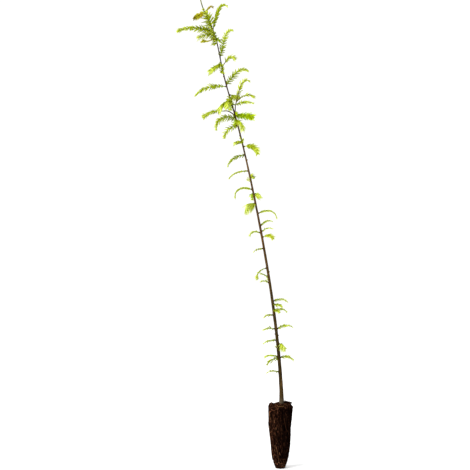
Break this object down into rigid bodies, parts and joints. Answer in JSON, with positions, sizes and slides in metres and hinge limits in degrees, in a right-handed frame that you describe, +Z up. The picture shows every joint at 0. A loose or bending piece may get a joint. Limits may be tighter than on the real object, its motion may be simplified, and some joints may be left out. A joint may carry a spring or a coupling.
{
  "type": "dawn redwood seedling on root plug",
  "caption": "Slender dawn redwood seedling in spring leaf: a leaning stem set with small arching sprays of soft flat needles, standing on its dark tapered root plug.",
  "frame": {"origin": "middle of the root plug's flat underside, which is the foot that the seedling stands on", "axes": "+Z up along the plug, +X to the viewer's right, +Y away from the viewer; the stem leans towards -X"},
  "size_m": [0.2701, 0.0788, 1.0789],
  "materials": {
    "peat": "matte",
    "bark": "satin",
    "needles_fresh": "satin",
    "needles_deep": "satin",
    "needles_pale": "satin",
    "needles_bronze": "satin"
  },
  "bodies": {
    "root": {"root_plug": "peat", "stem": "bark", "bough_left": "bark", "bough_right": "bark", "spray_tip_left": "needles_bronze", "spray_tip_right": "needles_bronze", "spray_leader": "needles_fresh", "spray_right_01": "needles_fresh", "spray_left_01": "needles_fresh", "spray_left_02": "needles_pale", "spray_left_03": "needles_bronze", "spray_back_01": "needles_deep", "spray_right_02": "needles_fresh", "spray_left_04": "needles_fresh", "spray_right_03": "needles_fresh", "spray_right_04": "needles_fresh", "spray_left_05": "needles_fresh", "spray_right_05": "needles_deep", "spray_left_06": "needles_fresh", "spray_front_01": "needles_fresh", "spray_back_02": "needles_deep", "spray_right_06": "needles_fresh", "spray_left_07": "needles_fresh", "spray_front_02": "needles_deep", "spray_back_03": "needles_deep", "spray_left_08": "needles_fresh", "spray_left_09": "needles_deep", "spray_right_07": "needles_fresh", "spray_left_10": "needles_fresh", "spray_left_11": "needles_pale", "spray_back_04": "needles_deep", "spray_left_12": "needles_fresh", "spray_right_08": "needles_fresh", "spray_back_05": "needles_deep", "spray_left_13": "needles_fresh", "spray_right_09": "needles_fresh", "spray_right_10": "needles_fresh", "spray_right_11": "needles_fresh", "spray_left_14": "needles_fresh", "spray_right_12": "needles_deep", "spray_left_15": "needles_pale", "spray_left_16": "needles_pale", "spray_left_17": "needles_fresh", "spray_left_18": "needles_fresh", "spray_right_13": "needles_fresh", "spray_right_14": "needles_fresh", "spray_right_15": "needles_fresh", "spray_front_03": "needles_fresh", "spray_left_19": "needles_pale", "spray_right_16": "needles_fresh", "spray_left_20": "needles_fresh", "spray_left_21": "needles_fresh", "spray_front_04": "needles_fresh", "spray_left_22": "needles_fresh", "spray_left_23": "needles_fresh", "spray_right_17": "needles_fresh", "spray_left_24": "needles_pale", "spray_bough_left": "needles_fresh", "fan_bough_right": "needles_fresh"}
  },
  "joints": []
}
